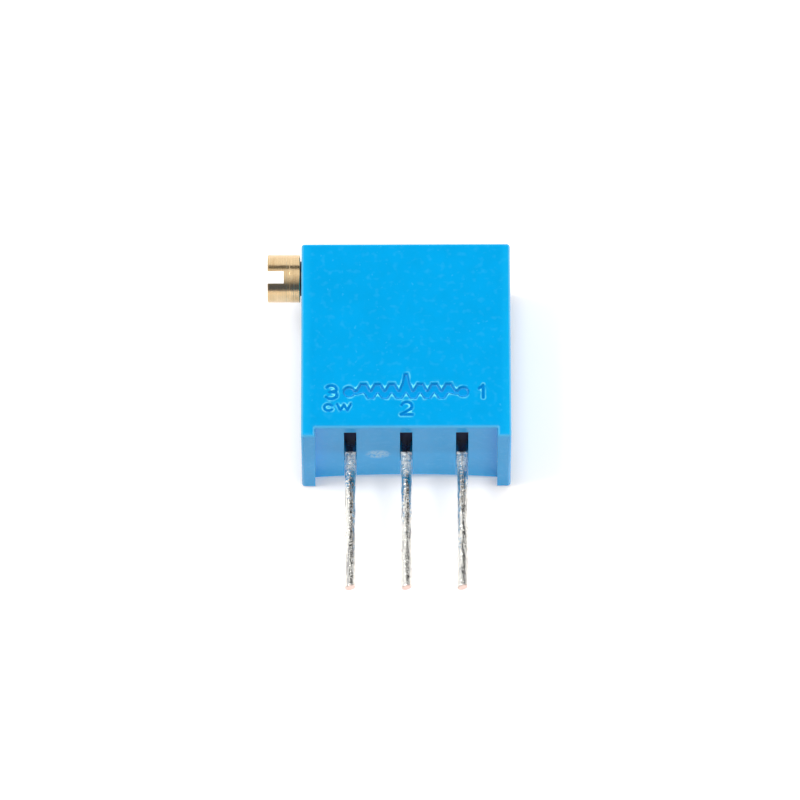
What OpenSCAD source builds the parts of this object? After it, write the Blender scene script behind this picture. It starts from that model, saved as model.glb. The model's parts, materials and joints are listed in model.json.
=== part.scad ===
// Multi-turn trimmer potentiometer, 3/8 inch square, adjusted from the side.
// A brass worm screw turns a worm wheel, whose spring contact wipes a horseshoe
// of resistive film on a ceramic plate. Millimetres, +Z up, marked face to -Y.
// The origin is on the axis of the middle lead, level with the feet.

/* [Body] */
// Width of the body across the three leads
body_w = 9.53; // [9.2:0.01:10]
// Height of the body from the feet to the top
body_h = 10.03; // [9.7:0.01:10.6]
// Depth of the body from the marked face to the back
body_d = 4.83; // [4.7:0.01:5.4]
// Radius of the four upright corners of the marked face
corner_r = 0.15; // [0.05:0.01:0.3]
// Height of the feet, which lift the body off the board
standoff = 0.51; // [0.3:0.01:0.7]
// Width of each foot
foot_w = 0.62; // [0.4:0.01:0.9]
// Wall between the marked face and the wheel chamber
front_wall = 0.5; // [0.4:0.01:0.55]
// Wall beside the wheel chamber
side_wall = 1.0; // [0.8:0.01:1.15]
// Wall round the pocket of the ceramic plate and the cover
pocket_wall = 0.6; // [0.4:0.01:0.7]
// Floor of the chamber, which the leads pass through
floor_wall = 0.8; // [0.6:0.01:1]

/* [Leads] */
// Distance between neighbouring leads
lead_pitch = 2.54; // [2.3:0.01:2.8]
// Diameter of a lead outside the body
lead_dia = 0.51; // [0.4:0.01:0.6]
// Length of a lead below the feet
lead_len = 6.52; // [3:0.01:10]
// Width of the flattened end, which passes the slot and lies on the ceramic plate
coin_w = 0.5; // [0.42:0.01:0.52]
// Thickness of the flattened end
coin_t = 0.36; // [0.3:0.01:0.38]
// Length of the flattened end above the chamber's floor
coin_len = 0.75; // [0.5:0.01:1]
// Height of the sealant in a lead slot
seal_h = 0.31; // [0.15:0.01:0.45]
// Gap between a lead and the side of its slot
slot_gap = 0.025; // [0.01:0.005:0.06]
// Distance under the recess at which a lead begins to be flat
coin_start = 0.02; // [0.01:0.005:0.05]

/* [Screw] */
// Distance of the screw's axis below the top
screw_from_top = 1.14; // [1.1:0.01:1.3]
// Distance of the screw's axis behind the marked face
screw_from_front = 1.27; // [1.2:0.01:1.35]
// Diameter of the head
head_dia = 2.19; // [1.9:0.01:2.25]
// How far the head stands out of the body's side
head_proud = 1.55; // [1:0.01:2]
// Gap between the head and the body's side
head_gap = 0.08; // [0.04:0.01:0.15]
// Chamfer on the rims of the head
head_chamfer = 0.06; // [0.02:0.01:0.12]
// Width of the driver slot
slot_w = 0.56; // [0.4:0.01:0.7]
// Depth of the driver slot
slot_depth = 0.76; // [0.5:0.01:1]
// How far the driver slot is cut off the screw's axis
slot_off = 0.05; // [0:0.01:0.1]
// Turn of the driver slot from level, in degrees
slot_turn = 29; // [0:1:180]
// Diameter of the neck that the retainer holds
screw_neck_dia = 0.84; // [0.7:0.01:1]
// Diameter of the journal at the far end
journal_dia = 0.7; // [0.5:0.01:0.9]
// Depth of the journal's blind bore
journal_depth = 0.9; // [0.7:0.01:1.1]
// Room at the end of the journal, and of the shank past its boss
end_room = 0.1; // [0.05:0.01:0.15]
// How far the shank's radius stands over the worm's crest, which passes its bore
shank_over_worm = 0.05; // [0.03:0.01:0.06]
// Length of the boss round the shank, from the body's side
shank_boss_len = 1.82; // [1.75:0.01:2]
// Length of the boss round the journal, from the body's side
journal_boss_len = 1.77; // [1.5:0.01:2]
// Wall of both bosses round their bores
boss_wall = 0.31; // [0.2:0.01:0.4]

/* [Shaft seal and retainer] */
// Distance of the seal's groove from the body's side
groove_from_side = 0.36; // [0.25:0.01:0.45]
// Width of the seal's groove
groove_w = 0.42; // [0.38:0.01:0.5]
// Thickness of the seal's ring
ring_t = 0.32; // [0.26:0.01:0.34]
// Distance of the retainer's slot from the body's side
clip_from_side = 1.14; // [1.05:0.01:1.25]
// Thickness of the retainer
clip_t = 0.32; // [0.25:0.01:0.36]
// Width of the retainer across its two legs
clip_w = 1.6; // [1.4:0.01:1.62]
// Reach of the retainer's legs past the screw's axis
clip_reach = 0.5; // [0.35:0.01:0.6]

/* [Worm drive] */
// Teeth of the worm wheel, one of which passes for each turn of the screw
gear_teeth = 33; // [30:1:36]
// Width of the wheel's rim
gear_face = 0.9; // [0.7:0.01:1]
// Pitch diameter of the worm
worm_pitch_dia = 1.1; // [1.05:0.01:1.15]
// Length of the worm
worm_len = 4; // [3.4:0.1:4.3]
// Pressure angle of the teeth, in degrees
pressure_angle = 20; // [18:1:24]
// Play between the worm's thread and the wheel's teeth
backlash = 0.04; // [0.02:0.005:0.06]
// Room round the wheel in its chamber
wheel_room = 0.3; // [0.2:0.01:0.4]
// Thickness of the web between rim and hub
web_t = 0.55; // [0.4:0.01:0.6]
// Depth of the rim outside the web
rim_t = 0.35; // [0.25:0.01:0.45]
// Diameter of the wheel's hub
hub_dia = 2; // [1.9:0.01:2.1]
// Diameter of the pivot post
post_dia = 1.1; // [0.9:0.01:1.2]
// Wall between the post's end and the wiper's seat
hub_cap = 0.2; // [0.15:0.01:0.25]

/* [End stops] */
// Half the angle that the rotor turns, for twelve and a half turns of the screw
half_travel = 136.4; // [130:0.1:138]
// Half the angle that the rotor's lug spans
lug_half = 15; // [10:1:16]
// Angle between lug and stop at the end of the travel
stop_margin = 0.5; // [0.3:0.1:1]
// Inner radius of the lug and of the housing's stop
stop_inner_r = 1.75; // [1.6:0.01:1.9]
// Outer radius of the lug and of the housing's stop
stop_outer_r = 2.45; // [2.2:0.01:2.5]
// Running gap of the lug to the chamber's wall, and of the stop to the web
lug_gap = 0.1; // [0.05:0.01:0.15]

/* [Element] */
// Distance of the ceramic plate's face behind the leads' axes
ceramic_behind_lead = 0.25; // [0.25:0.01:0.35]
// Thickness of the ceramic plate
ceramic_t = 0.65; // [0.5:0.01:0.8]
// Thickness of the fired films
film_t = 0.05; // [0.02:0.01:0.08]
// Mean radius of the resistive track
track_r = 2.6; // [2.4:0.01:2.7]
// Width of the resistive track
track_w = 0.6; // [0.4:0.01:0.7]
// Half the angle that the track spans
track_half = 140; // [138:1:144]
// Width of the strips that lead the films to the pins
strip_w = 0.5; // [0.3:0.01:0.6]
// Width of the pads under the pins
pad_w = 0.9; // [0.8:0.01:1.1]
// Radius of the collector under the centre contact
collector_r = 0.75; // [0.5:0.01:0.9]
// Radius of a solder joint on its pad
solder_r = 0.5; // [0.42:0.01:0.55]
// Radius of a solder joint at its top
solder_top_r = 0.3; // [0.2:0.01:0.4]

/* [Wiper] */
// Height of the wiper's seat above the rim's rear face
seat_h = 0.35; // [0.25:0.01:0.4]
// Thickness of the spring sheet
spring_t = 0.08; // [0.05:0.01:0.1]
// Number of fingers on the track
finger_count = 4; // [2:1:5]
// Width of a finger
finger_w = 0.14; // [0.1:0.01:0.16]
// Distance between neighbouring fingers
finger_pitch = 0.22; // [0.2:0.01:0.24]
// Distance from the rotor's axis at which the fingers begin
finger_root_r = 1.45; // [1.3:0.01:1.6]
// Radius of a contact's rounded end
contact_r = 0.06; // [0.04:0.01:0.08]
// Width of the tongue that reaches the collector
tongue_w = 0.3; // [0.2:0.01:0.36]
// Distance from the rotor's axis at which the tongue begins
tongue_root_r = 0.72; // [0.65:0.01:0.78]
// How far the spring sheet stays inside the hub's rim
spring_inset = 0.05; // [0.02:0.01:0.08]
// Diameter of the pegs that hold the spring sheet
peg_dia = 0.24; // [0.18:0.01:0.3]

/* [Back cover] */
// Depth of the cover's outer face inside the body's back edge
cover_inset = 0.11; // [0.05:0.01:0.3]
// Thickness of the cover's plate
cover_t = 0.8; // [0.5:0.01:1]
// Wall of the cover's rim, which presses on the ceramic plate
cover_rim = 0.45; // [0.3:0.01:0.7]
// Radius of the pocket's corners
pocket_r = 0.3; // [0.1:0.01:0.4]

/* [Clearances] */
// Running gap between pieces that turn on each other
run_gap = 0.03; // [0.02:0.005:0.05]
// Gap round pieces that are pushed or glued in
fit_gap = 0.04; // [0.02:0.005:0.06]

/* [Hidden] */
$fn = 64;
cut = 1; // length by which cutting shapes run past what they cut

body_blue = [0.0, 0.63, 0.93];
seal_black = [0.05, 0.07, 0.12];
tin = [0.72, 0.72, 0.7];
film_silver = [0.8, 0.8, 0.78];
brass = [0.86, 0.7, 0.38];

// Faces of the body
front_y = -body_d / 2;
back_y = body_d / 2;
side_x = body_w / 2;
floor_z = standoff + floor_wall;
chamber_x = side_x - side_wall;
chamber_y = front_y + front_wall;
pocket_x = side_x - pocket_wall;
pocket_top = body_h - pocket_wall;

// Ceramic plate and films
ceramic_y = ceramic_behind_lead;
film_y = ceramic_y - film_t;
ceramic_back = ceramic_y + ceramic_t;
ceramic_low = floor_z + fit_gap;

// Screw axis
axis_y = front_y + screw_from_front;
axis_z = body_h - screw_from_top;

// The wheel fills its chamber: below the worm in height, or from side to side
drop = axis_z - worm_pitch_dia / 2 - floor_z;
wheel_r = min((drop - wheel_room) / (2 + 2 / gear_teeth),
              (chamber_x - wheel_room) / (1 + 2 / gear_teeth));
wheel_z = axis_z - worm_pitch_dia / 2 - wheel_r;
tooth_pitch = 2 * PI * wheel_r / gear_teeth;
addendum = wheel_r * 2 / gear_teeth;
dedendum = 1.25 * addendum;
wheel_tip_r = wheel_r + addendum;
wheel_root_r = wheel_r - dedendum;
wheel_front = axis_y - gear_face / 2;
wheel_rear = axis_y + gear_face / 2;
half_tooth = tooth_pitch / 4 - backlash / 4;
base_r = wheel_r * cos(pressure_angle);

// Worm thread
worm_crest_r = worm_pitch_dia / 2 + addendum;
worm_root_r = worm_pitch_dia / 2 - dedendum;
lead_angle = atan(tooth_pitch / (PI * worm_pitch_dia));
thread_rows = 16;
thread_turns = ceil(worm_len / tooth_pitch) + 3;
thread_cols = 4 * thread_turns;
crest_half = half_tooth - addendum * tan(pressure_angle);
root_half = half_tooth + dedendum * tan(pressure_angle);
thread_x = [-root_half, -crest_half, crest_half, root_half];
thread_r = [worm_root_r, worm_crest_r, worm_crest_r, worm_root_r];

// Screw along its axis, from the head to the journal
shank_r = worm_crest_r + shank_over_worm;
bore_r = shank_r + fit_gap;
head_x = -side_x - head_gap;
head_end = -side_x - head_proud;
groove_x = -side_x + groove_from_side;
groove_r = bore_r - fit_gap / 2 - ring_t;
clip_slot_x = -side_x + clip_from_side;
clip_slot_w = clip_t + fit_gap;
neck_x = clip_slot_x - fit_gap / 2;
neck_w = clip_slot_w + fit_gap;
shank_boss_x = -side_x + shank_boss_len;
shank_end = shank_boss_x + end_room;
journal_boss_x = side_x - journal_boss_len;
journal_bore_r = journal_dia / 2 + run_gap;
journal_end = journal_boss_x + journal_depth - end_room;
boss_half = bore_r + boss_wall;

// Rotor
hub_front = chamber_y + wheel_room;
seat_y = wheel_rear + seat_h;
post_bore_r = post_dia / 2 + run_gap;
post_end = seat_y - hub_cap - run_gap;
web_y = wheel_rear - web_t;
lug_y = chamber_y + lug_gap;
stop_half = 180 - half_travel - lug_half - stop_margin;

// Leads, slots and solder joints
lead_x = [lead_pitch, 0, -lead_pitch]; // terminals 1, 2 and 3
slot_half = lead_dia / 2 + slot_gap;
lead_top = standoff - coin_start;
coin_front = film_y - coin_t;
solder_z = floor_z + solder_r + fit_gap;
pad_top = solder_z + solder_r + fit_gap;

// Wiper
spring_back = seat_y + spring_t;
contact_y = film_y - run_gap - contact_r;
spring_r = hub_dia / 2 - spring_inset;

// ---- helpers ----

// Extrudes a front view, drawn in X and Z, from one depth to another
module along_y(y0, y1) {
    translate([0, y1, 0]) rotate([90, 0, 0]) linear_extrude(y1 - y0) children();
}

// The same, drawn about the wheel's centre
module at_wheel(y0, y1) {
    translate([0, 0, wheel_z]) along_y(y0, y1) children();
}

// Turns what stands on Z onto the screw's axis
module on_screw_axis() {
    translate([0, axis_y, axis_z]) rotate([0, 90, 0]) children();
}

// Rectangle with round corners, from its lower left corner
module rounded_rect(w, h, r) {
    translate([r, 0]) square([w - 2 * r, h]);
    translate([0, r]) square([w, h - 2 * r]);
    for (x = [r, w - r], z = [r, h - r]) translate([x, z]) circle(r);
}

// Ring sector, its angles measured from the top toward the right
module ring_sector(inner_r, outer_r, start, end) {
    steps = ceil((end - start) / 30);
    far = 2 * outer_r;
    intersection() {
        difference() {
            circle(outer_r);
            circle(inner_r);
        }
        polygon(concat([[0, 0]], [for (i = [0 : steps])
            let (a = start + (end - start) * i / steps) far * [sin(a), cos(a)]]));
    }
}

// Body outline in the front view
module body_outline() {
    translate([-side_x, 0]) rounded_rect(body_w, body_h, corner_r);
}

// Pocket outline, drawn in by a gap
module pocket_outline(gap) {
    translate([-pocket_x + gap, floor_z + gap])
        rounded_rect(2 * (pocket_x - gap), pocket_top - floor_z - 2 * gap, pocket_r);
}

// ---- body ----

// Block round the screw, from one X to another, open at the ceramic plate
module boss(x0, x1) {
    translate([x0, chamber_y - front_wall / 2, axis_z - boss_half])
        cube([x1 - x0, ceramic_y - chamber_y + front_wall / 2, boss_half + screw_from_top / 2]);
}

module housing() {
    color(body_blue) difference() {
        union() {
            difference() {
                along_y(front_y, back_y) body_outline();
                // wheel chamber, up to the worm's crest
                along_y(chamber_y, ceramic_y + cut) translate([-chamber_x, floor_z])
                    square([2 * chamber_x, axis_z + shank_r - floor_z]);
                on_screw_axis() translate([0, 0, -chamber_x])
                    cylinder(r = shank_r, h = 2 * chamber_x);
                along_y(ceramic_y, back_y + cut) pocket_outline(0);
                // recess between the feet
                translate([-side_x + foot_w, front_y - cut, -cut])
                    cube([body_w - 2 * foot_w, body_d + 2 * cut, standoff + cut]);
            }
            boss(-chamber_x - side_wall / 2, shank_boss_x);
            boss(journal_boss_x, chamber_x + side_wall / 2);
            // pivot post and its thrust pad
            at_wheel(chamber_y - front_wall / 2, post_end) circle(post_dia / 2);
            at_wheel(chamber_y - front_wall / 2, hub_front - run_gap) circle(hub_dia / 2);
            // end stop for the rotor's lug
            at_wheel(chamber_y - front_wall / 2, web_y - lug_gap)
                ring_sector(stop_inner_r, stop_outer_r, 180 - stop_half, 180 + stop_half);
        }
        // bores of the screw
        on_screw_axis() {
            translate([0, 0, -side_x - cut]) cylinder(r = bore_r, h = shank_boss_len + 2 * cut);
            translate([0, 0, journal_boss_x - cut]) cylinder(r = journal_bore_r, h = journal_depth + cut);
        }
        // slot of the retainer, open to the back
        translate([clip_slot_x, axis_y - clip_reach - fit_gap, axis_z - clip_w / 2 - run_gap])
            cube([clip_slot_w, ceramic_y + clip_reach - axis_y + cut, clip_w + 2 * run_gap]);
        // slots of the leads, open to the back
        for (x = lead_x) translate([x - slot_half, chamber_y, standoff - cut])
            cube([2 * slot_half, body_d, floor_wall + 2 * cut]);
    }
}

module back_cover() {
    color(body_blue) {
        difference() {
            along_y(ceramic_back, back_y - cover_inset) pocket_outline(fit_gap);
            along_y(ceramic_back - cut, back_y - cover_inset - cover_t)
                pocket_outline(fit_gap + cover_rim);
        }
        // tongues that close the lead slots behind the leads
        for (x = lead_x) translate([x - slot_half + fit_gap / 2, 0, standoff]) {
            translate([0, lead_dia / 2 + fit_gap, 0])
                cube([2 * slot_half - fit_gap, back_y - cover_inset - lead_dia / 2 - fit_gap,
                      floor_wall]);
            translate([0, ceramic_back, floor_wall / 2])
                cube([2 * slot_half - fit_gap, back_y - cover_inset - ceramic_back,
                      floor_wall / 2 + 2 * fit_gap]);
        }
    }
}

// ---- element ----

module ceramic_substrate() {
    color("white") along_y(ceramic_y, ceramic_back) pocket_outline(fit_gap);
}

module resistive_track() {
    color([0.12, 0.12, 0.13]) at_wheel(film_y, ceramic_y)
        ring_sector(track_r - track_w / 2, track_r + track_w / 2, -track_half, track_half);
}

// Pad under a pin, in the front view
module pad(x) {
    translate([x - pad_w / 2, ceramic_low]) square([pad_w, pad_top - ceramic_low]);
}

// Film from one end of the track to its pin; side is 1 on the right, -1 on the left
module end_conductor(side) {
    span = 12; // angle by which the conductor carries the track's ring on
    inner_r = track_r - track_w / 2;
    outer_r = track_r + track_w / 2;
    tail = [side * sin(track_half + span), cos(track_half + span)];
    color(film_silver) {
        at_wheel(film_y, ceramic_y) ring_sector(inner_r, outer_r,
            side > 0 ? track_half : -track_half - span, side > 0 ? track_half + span : -track_half);
        along_y(film_y, ceramic_y) {
            polygon([[0, wheel_z] + inner_r * tail, [0, wheel_z] + outer_r * tail,
                     [side * (lead_pitch - pad_w / 2), pad_top - strip_w],
                     [side * (lead_pitch + pad_w / 2), pad_top]]);
            pad(side * lead_pitch);
        }
    }
}

module collector_conductor() {
    color(film_silver) {
        at_wheel(film_y, ceramic_y) circle(collector_r);
        along_y(film_y, ceramic_y) {
            translate([-strip_w / 2, pad_top - fit_gap]) square([strip_w, wheel_z - pad_top]);
            pad(0);
        }
    }
}

// ---- leads ----

module terminal_pin(x) {
    color(tin) translate([x, 0, 0]) {
        translate([0, 0, -lead_len]) cylinder(d = lead_dia, h = lead_len + lead_top);
        translate([-coin_w / 2, coin_front, lead_top])
            cube([coin_w, film_y - coin_front, floor_z + coin_len - lead_top]);
    }
}

// Mound of solder on a pad, round the flattened end of its pin
module solder_joint(x) {
    color(tin) difference() {
        translate([x, film_y, solder_z]) rotate([90, 0, 0])
            cylinder(r1 = solder_r, r2 = solder_top_r, h = film_y - coin_front + 2 * fit_gap);
        translate([x - coin_w / 2, coin_front, floor_z - cut])
            cube([coin_w, film_y - coin_front + cut, coin_len + cut]);
    }
}

// Sealant round a lead, in the top of its slot
module lead_seal(x) {
    color(seal_black) difference() {
        translate([x - slot_half, chamber_y, floor_z - seal_h])
            cube([2 * slot_half, lead_dia / 2 + fit_gap - chamber_y, seal_h]);
        translate([x - coin_w / 2, coin_front, standoff])
            cube([coin_w, film_y - coin_front, floor_wall + cut]);
    }
}

// ---- screw ----

// One thread wound round the axis as a grid of points. Rows run round the axis,
// columns along it, and each turn takes four columns, at the corners of the
// thread's section. The last row closes on the first, one turn further on.
function thread_point(row, col) =
    let (turn = floor(col / 4) - floor(thread_turns / 2), k = col % 4,
         a = 360 * row / thread_rows)
    [tooth_pitch * (turn + row / thread_rows) + thread_x[k],
     thread_r[k] * sin(a), -thread_r[k] * cos(a)];

module worm_thread() {
    rows = thread_rows;
    cols = thread_cols;
    last = rows * cols;
    points = [for (row = [0 : rows - 1], col = [0 : cols - 1]) thread_point(row, col)];
    start = [thread_point(0, 0)[0], 0, 0];
    end = [thread_point(rows - 1, cols - 1)[0], 0, 0];
    flanks = [for (row = [0 : rows - 2], col = [0 : cols - 2])
        let (i = row * cols + col) each [[i, i + 1, i + cols + 1], [i, i + cols + 1, i + cols]]];
    seam = [for (col = [0 : cols - 6])
        let (i = (rows - 1) * cols + col) each [[i, i + 1, col + 5], [i, col + 5, col + 4]]];
    start_edge = concat([for (row = [0 : rows - 1]) row * cols], [4, 3, 2, 1, 0]);
    end_edge = concat([for (row = [0 : rows - 1]) row * cols + cols - 1],
                      [for (back = [2 : 5]) last - back], [cols - 1]);
    start_fan = [for (i = [0 : len(start_edge) - 2]) [last, start_edge[i], start_edge[i + 1]]];
    end_fan = [for (i = [0 : len(end_edge) - 2]) [last + 1, end_edge[i + 1], end_edge[i]]];
    polyhedron(concat(points, [start, end]), concat(flanks, seam, start_fan, end_fan));
}

module adjustment_screw() {
    head_r = head_dia / 2;
    c = head_chamfer;
    core_r = 0.9 * worm_root_r;
    color(brass) {
        difference() {
            on_screw_axis() rotate_extrude() polygon([
                [0, head_end], [head_r - c, head_end], [head_r, head_end + c],
                [head_r, head_x - c], [head_r - c, head_x], [shank_r, head_x],
                [shank_r, groove_x], [groove_r, groove_x],
                [groove_r, groove_x + groove_w], [shank_r, groove_x + groove_w],
                [shank_r, neck_x], [screw_neck_dia / 2, neck_x],
                [screw_neck_dia / 2, neck_x + neck_w], [shank_r, neck_x + neck_w],
                [shank_r, shank_end], [core_r, shank_end],
                [core_r, worm_len / 2 + backlash], [journal_dia / 2, worm_len / 2 + backlash],
                [journal_dia / 2, journal_end - c], [journal_dia / 2 - c, journal_end],
                [0, journal_end]]);
            // driver slot across the head
            translate([head_end - cut, axis_y, axis_z]) rotate([slot_turn, 0, 0])
                translate([0, -head_dia, slot_off - slot_w / 2])
                    cube([slot_depth + cut, 2 * head_dia, slot_w]);
        }
        intersection() {
            translate([0, axis_y, axis_z]) worm_thread();
            on_screw_axis() cylinder(d = head_dia, h = worm_len, center = true);
        }
    }
}

module shaft_seal() {
    color([0.75, 0.3, 0.2]) on_screw_axis() translate([0, 0, groove_x + groove_w / 2])
        rotate_extrude() translate([groove_r + ring_t / 2, 0]) circle(d = ring_t - fit_gap / 4);
}

module screw_retainer() {
    bend_r = screw_neck_dia / 2 + run_gap;
    back = ceramic_y - fit_gap;
    color("silver") translate([clip_slot_x + fit_gap / 2, axis_y, axis_z])
        rotate([0, 90, 0]) rotate([0, 0, 90]) linear_extrude(clip_t) difference() {
            translate([-clip_reach, -clip_w / 2]) square([back - axis_y + clip_reach, clip_w]);
            circle(bend_r);
            translate([-clip_reach - cut, -bend_r]) square([clip_reach + cut, 2 * bend_r]);
        }
}

// ---- rotor ----

// Half width of a tooth at radius r, on an involute flank
function involute(a) = tan(a) - a * PI / 180;
function tooth_half(r) = r * (half_tooth / wheel_r + involute(pressure_angle)
                              - involute(acos(base_r / max(r, base_r))));

// Tooth at the top of the wheel, slanted as the worm's thread is
module gear_tooth() {
    low = wheel_root_r - addendum;
    high = wheel_tip_r + addendum / 4;
    radii = [wheel_root_r, base_r, (base_r + wheel_tip_r) / 2, high];
    right = concat([[tooth_half(wheel_root_r), low]], [for (r = radii) [tooth_half(r), r]]);
    left = [for (i = [len(right) - 1 : -1 : 0]) [-right[i][0], right[i][1]]];
    rotate([0, 0, -lead_angle]) along_y(-gear_face, gear_face) polygon(concat(right, left));
}

module rotor_gear() {
    color([0.93, 0.92, 0.86]) {
        difference() {
            union() {
                intersection() {
                    at_wheel(wheel_front, wheel_rear) circle(wheel_tip_r);
                    union() {
                        at_wheel(wheel_front - cut, wheel_rear + cut) circle(wheel_root_r);
                        for (i = [0 : gear_teeth - 1])
                            translate([0, axis_y, wheel_z])
                                rotate([0, (i + 0.5) * 360 / gear_teeth, 0]) gear_tooth();
                    }
                }
                at_wheel(hub_front, seat_y) circle(hub_dia / 2);
            }
            // hollow between hub and rim
            at_wheel(wheel_front - cut, web_y) difference() {
                circle(wheel_root_r - rim_t);
                circle(hub_dia / 2);
            }
            at_wheel(hub_front - cut, seat_y - hub_cap) circle(post_bore_r);
        }
        // stop lug and the pegs of the wiper
        at_wheel(lug_y, web_y + web_t / 2)
            ring_sector(stop_inner_r, stop_outer_r, -lug_half, lug_half);
        for (side = [-1, 1]) at_wheel(seat_y - hub_cap / 2, spring_back + fit_gap)
            translate([side * (spring_r - peg_dia), 0]) circle(d = peg_dia);
    }
}

// Spring leaf from the sheet at one radius to its contact at another
module spring_leaf(w, from_r, to_r) {
    run = to_r - from_r;
    rise = contact_y - (spring_back - spring_t / 2);
    slope = atan(rise / abs(run));
    leaf = norm([run, rise]);
    translate([0, spring_back - spring_t / 2, from_r]) rotate([-slope, 0, 0])
        translate([-w / 2, -spring_t / 2, 0]) cube([w, spring_t, leaf]);
    translate([-w / 2, contact_y, to_r]) rotate([0, 90, 0]) cylinder(r = contact_r, h = w);
}

module wiper_contact() {
    arm_w = finger_pitch * (finger_count - 1) + finger_w;
    color([0.85, 0.8, 0.62]) {
        at_wheel(seat_y, spring_back) difference() {
            union() {
                circle(spring_r);
                translate([-arm_w / 2, 0]) square([arm_w, finger_root_r]);
            }
            // window round the tongue, and the pegs' holes
            translate([-tongue_w / 2 - fit_gap, -tongue_root_r])
                square([tongue_w + 2 * fit_gap, tongue_root_r + 2 * contact_r + fit_gap]);
            for (side = [-1, 1]) translate([side * (spring_r - peg_dia), 0])
                circle(d = peg_dia + fit_gap / 2);
        }
        translate([0, 0, wheel_z]) {
            spring_leaf(tongue_w, -tongue_root_r - spring_t / 2, 0);
            for (i = [0 : finger_count - 1])
                translate([(i - (finger_count - 1) / 2) * finger_pitch, 0, 0])
                    spring_leaf(finger_w, finger_root_r - spring_t / 2, track_r);
        }
    }
}

housing();
back_cover();
ceramic_substrate();
resistive_track();
collector_conductor();
end_conductor(-1);  // end_conductor_left
end_conductor(1);  // end_conductor_right
terminal_pin(lead_x[0]);  // terminal_pin_1
terminal_pin(lead_x[1]);  // terminal_pin_2
terminal_pin(lead_x[2]);  // terminal_pin_3
solder_joint(lead_x[0]);  // solder_joint_1
solder_joint(lead_x[1]);  // solder_joint_2
solder_joint(lead_x[2]);  // solder_joint_3
lead_seal(lead_x[0]);  // lead_seal_1
lead_seal(lead_x[1]);  // lead_seal_2
lead_seal(lead_x[2]);  // lead_seal_3
adjustment_screw();
shaft_seal();
screw_retainer();
rotor_gear();
wiper_contact();
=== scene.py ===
import json
import math

import bmesh
import bpy
import numpy as np
from mathutils import Matrix, Vector, noise
from mathutils.geometry import delaunay_2d_cdt


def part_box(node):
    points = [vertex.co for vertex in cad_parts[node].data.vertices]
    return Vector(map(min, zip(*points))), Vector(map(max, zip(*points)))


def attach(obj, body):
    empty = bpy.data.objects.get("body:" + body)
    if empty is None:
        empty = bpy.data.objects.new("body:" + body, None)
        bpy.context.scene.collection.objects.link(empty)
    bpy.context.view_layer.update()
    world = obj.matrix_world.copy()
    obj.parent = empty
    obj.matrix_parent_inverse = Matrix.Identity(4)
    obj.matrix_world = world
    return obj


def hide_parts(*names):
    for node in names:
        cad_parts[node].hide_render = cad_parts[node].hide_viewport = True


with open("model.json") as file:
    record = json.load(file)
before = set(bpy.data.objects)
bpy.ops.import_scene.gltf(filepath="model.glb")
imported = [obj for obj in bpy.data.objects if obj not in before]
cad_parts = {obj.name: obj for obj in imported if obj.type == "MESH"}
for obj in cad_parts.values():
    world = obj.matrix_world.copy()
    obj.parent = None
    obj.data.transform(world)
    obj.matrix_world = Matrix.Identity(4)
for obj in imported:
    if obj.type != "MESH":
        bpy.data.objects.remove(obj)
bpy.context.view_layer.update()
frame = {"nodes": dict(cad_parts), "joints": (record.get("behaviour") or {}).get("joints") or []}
mm = 0.001  # shapes are drawn in millimetres and scaled as they are placed
scene = bpy.context.scene


def boxOf(node):
    low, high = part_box(node)
    return low / mm, high / mm


bodyLow, bodyHigh = boxOf("housing")
screwLow, screwHigh = boxOf("adjustment_screw")
coverLow, coverHigh = boxOf("back_cover")
ceramicLow, ceramicHigh = boxOf("ceramic_substrate")
leadLow = boxOf("terminal_pin_1")[0]
wheelHigh = boxOf("rotor_gear")[1]
jointAt = {joint["name"]: Vector(joint["pos_m"]) / mm for joint in frame["joints"]}
screwY, screwZ, wheelZ = jointAt["screw_turn"].y, jointAt["screw_turn"].z, jointAt["rotor_turn"].z
print("frame loaded,", len(frame["nodes"]), "nodes")

# shader helpers


def feed(sockets, values):
    # values by the names or places of their sockets: plain ones, or other nodes' outputs
    for label, value in values.items():
        if isinstance(value, bpy.types.NodeSocket):
            value.id_data.links.new(value, sockets[label])
        elif value is not None:
            sockets[label].default_value = value


def addNode(tree, kind, values=None, **settings):
    node = tree.nodes.new(kind)
    for name, value in settings.items():
        setattr(node, name, value)
    feed(node.inputs, values or {})
    return node


def fedNode(kind, *values, **settings):
    # outputs of a node that takes values in order, in the tree of the first output among them
    tree = next(value.id_data for value in values if isinstance(value, bpy.types.NodeSocket))
    return addNode(tree, kind, dict(enumerate(values)), **settings).outputs


def mathNode(operation, *values):
    return fedNode("ShaderNodeMath", *values, operation=operation)[0]


def plus(first, second):
    return mathNode("ADD", first, second)


def minus(first, second):
    return mathNode("SUBTRACT", first, second)


def times(first, second):
    return mathNode("MULTIPLY", first, second)


def divided(first, second):
    return mathNode("DIVIDE", first, second)


def larger(first, second):
    return mathNode("MAXIMUM", first, second)


def vectorNode(operation, *values):
    return fedNode("ShaderNodeVectorMath", *values, operation=operation)


def stretched(vector, amounts):
    return vectorNode("MULTIPLY", vector, amounts)[0]


def dimmed(colour, amount):
    return vectorNode("SCALE", colour, None, None, amount)[0]


def splitNode(vector):
    return fedNode("ShaderNodeSeparateXYZ", vector)


def mapRange(value, fromLow, fromHigh, toLow=0.0, toHigh=1.0):
    # carries a band of the value over to a band of the result
    return fedNode("ShaderNodeMapRange", value, fromLow, fromHigh, toLow, toHigh)[0]


def mixColour(factor, first, second):
    values = {0: factor, 6: first, 7: second}
    return addNode(factor.id_data, "ShaderNodeMix", values, data_type="RGBA").outputs[2]


def noiseNode(vector, scale, detail=3.0, rough=0.5, distortion=0.0):
    values = {"Vector": vector, "Scale": scale, "Detail": detail, "Roughness": rough,
              "Distortion": distortion}
    return addNode(vector.id_data, "ShaderNodeTexNoise", values).outputs["Fac"]


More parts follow.
